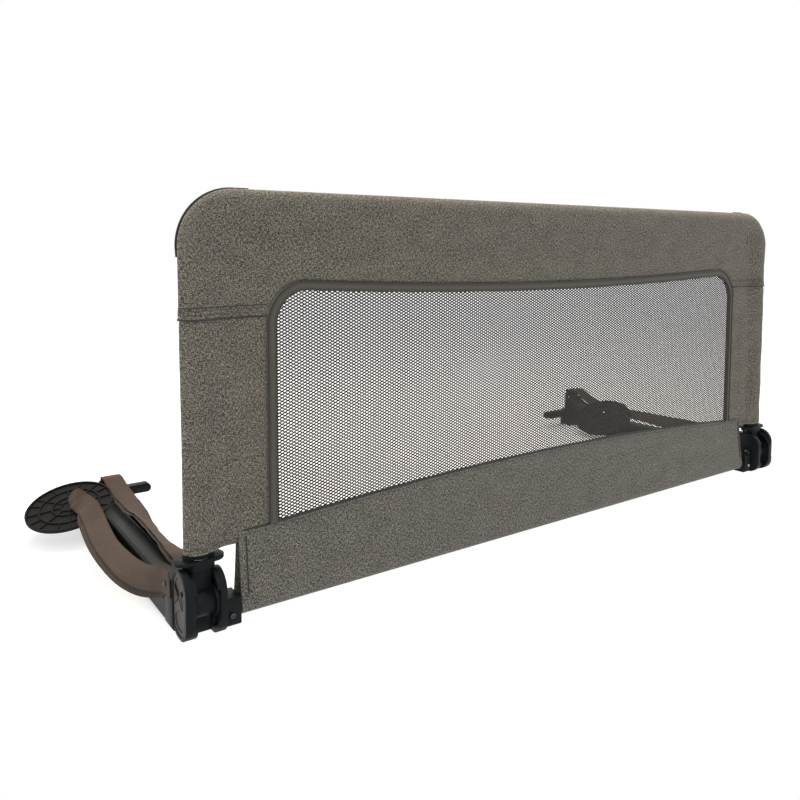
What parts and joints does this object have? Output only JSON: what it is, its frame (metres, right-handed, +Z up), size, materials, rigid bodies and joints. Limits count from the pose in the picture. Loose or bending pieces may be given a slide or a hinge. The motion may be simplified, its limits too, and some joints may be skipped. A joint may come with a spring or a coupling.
{
  "type": "folding bed guard rail",
  "caption": "Padded folding guard rail with a mesh window, held upright by pivoting brackets on arms that run under the mattress, with straps and anchor discs.",
  "frame": {"origin": "on the floor plane below the middle of the whole part, from the edge of the left disc to the side of the right foot, and from the front of the brackets to the back of the feet", "axes": "+X along the rail, -Y the front that faces away from the mattress, +Z up"},
  "size_m": [1.7262, 0.646, 0.645],
  "materials": {
    "black_plastic": "fine-grained moulded",
    "grey_plastic": "fine-grained moulded",
    "tube_steel": "satin powder coat",
    "dark_steel": "blackened",
    "bright_steel": "zinc plated",
    "heather_cloth": "heathered weave",
    "dark_tape": "ribbed binding tape",
    "net_cloth": "open diamond net",
    "webbing": "woven strap",
    "foam": "closed-cell foam"
  },
  "bodies": {
    "base": {"bracket_right": "black_plastic", "bracket_left": "black_plastic", "cheek_cover_right": "grey_plastic", "cheek_cover_left": "grey_plastic", "pivot_pin_right": "dark_steel", "pivot_pin_left": "dark_steel", "socket_screw_right": "bright_steel", "socket_screw_left": "bright_steel", "cross_tube_right": "tube_steel", "cross_tube_left": "tube_steel", "arm_tube_right": "tube_steel", "arm_tube_left": "tube_steel", "arm_tray_right": "black_plastic", "arm_tray_left": "black_plastic", "arm_foot_right": "black_plastic", "arm_foot_left": "black_plastic", "strap_back_right": "webbing", "strap_back_left": "webbing", "strap_return_right": "webbing", "strap_return_left": "webbing", "strap_bow_right": "webbing", "strap_bow_left": "webbing", "strap_rivet_back_right": "bright_steel", "strap_rivet_back_left": "bright_steel", "strap_rivet_bow_right": "bright_steel", "strap_rivet_bow_left": "bright_steel", "cross_joiner": "grey_plastic", "sleeve_band": "heather_cloth"},
    "rail": {"knuckle_right": "black_plastic", "knuckle_left": "black_plastic", "tube_screw_right": "bright_steel", "tube_screw_left": "bright_steel", "upright_tube_right": "tube_steel", "upright_tube_left": "tube_steel", "corner_tube_right": "tube_steel", "corner_tube_left": "tube_steel", "foam_side_right": "foam", "foam_side_left": "foam", "cover_side_right": "heather_cloth", "cover_side_left": "heather_cloth", "collar_spring_right": "bright_steel", "collar_spring_left": "bright_steel", "top_tube": "tube_steel", "foam_top": "foam", "cover_top": "heather_cloth", "mesh_window": "net_cloth", "mesh_binding": "dark_tape"},
    "collar_right": {"release_collar_right": "black_plastic", "collar_rivet_right": "bright_steel", "lock_link_right": "bright_steel", "lock_pin_right": "bright_steel"},
    "collar_left": {"release_collar_left": "black_plastic", "collar_rivet_left": "bright_steel", "lock_link_left": "bright_steel", "lock_pin_left": "bright_steel"},
    "anchor_right": {"anchor_disc_right": "black_plastic"},
    "anchor_left": {"anchor_disc_left": "black_plastic"}
  },
  "joints": [
    {"name": "rail_fold", "type": "hinge", "parent": "base", "child": "rail", "pos_m": [0.0211, -0.295, 0.047], "axis": [1, 0, 0], "range_deg": [0, 180], "deforming": ["sleeve_band"]},
    {"name": "collar_right_slide", "type": "slide", "parent": "rail", "child": "collar_right", "axis": [0, 0, 1], "range_m": [0, 0.006], "stiffness_N_per_m": 300, "springref_m": -0.008, "deforming": ["collar_spring_right"]},
    {"name": "collar_left_slide", "type": "slide", "parent": "rail", "child": "collar_left", "axis": [0, 0, 1], "range_m": [0, 0.006], "stiffness_N_per_m": 300, "springref_m": -0.008, "deforming": ["collar_spring_left"]},
    {"name": "disc_right_tilt", "type": "hinge", "parent": "base", "child": "anchor_right", "pos_m": [0.7161, 0.154, 0.0506], "axis": [0.875, -0.2569, 0.4104], "range_deg": [-2, 2]},
    {"name": "disc_left_tilt", "type": "hinge", "parent": "base", "child": "anchor_left", "pos_m": [-0.7839, 0.205, 0.058], "axis": [0.0432, -0.9781, -0.2034], "range_deg": [-6, 2]}
  ]
}
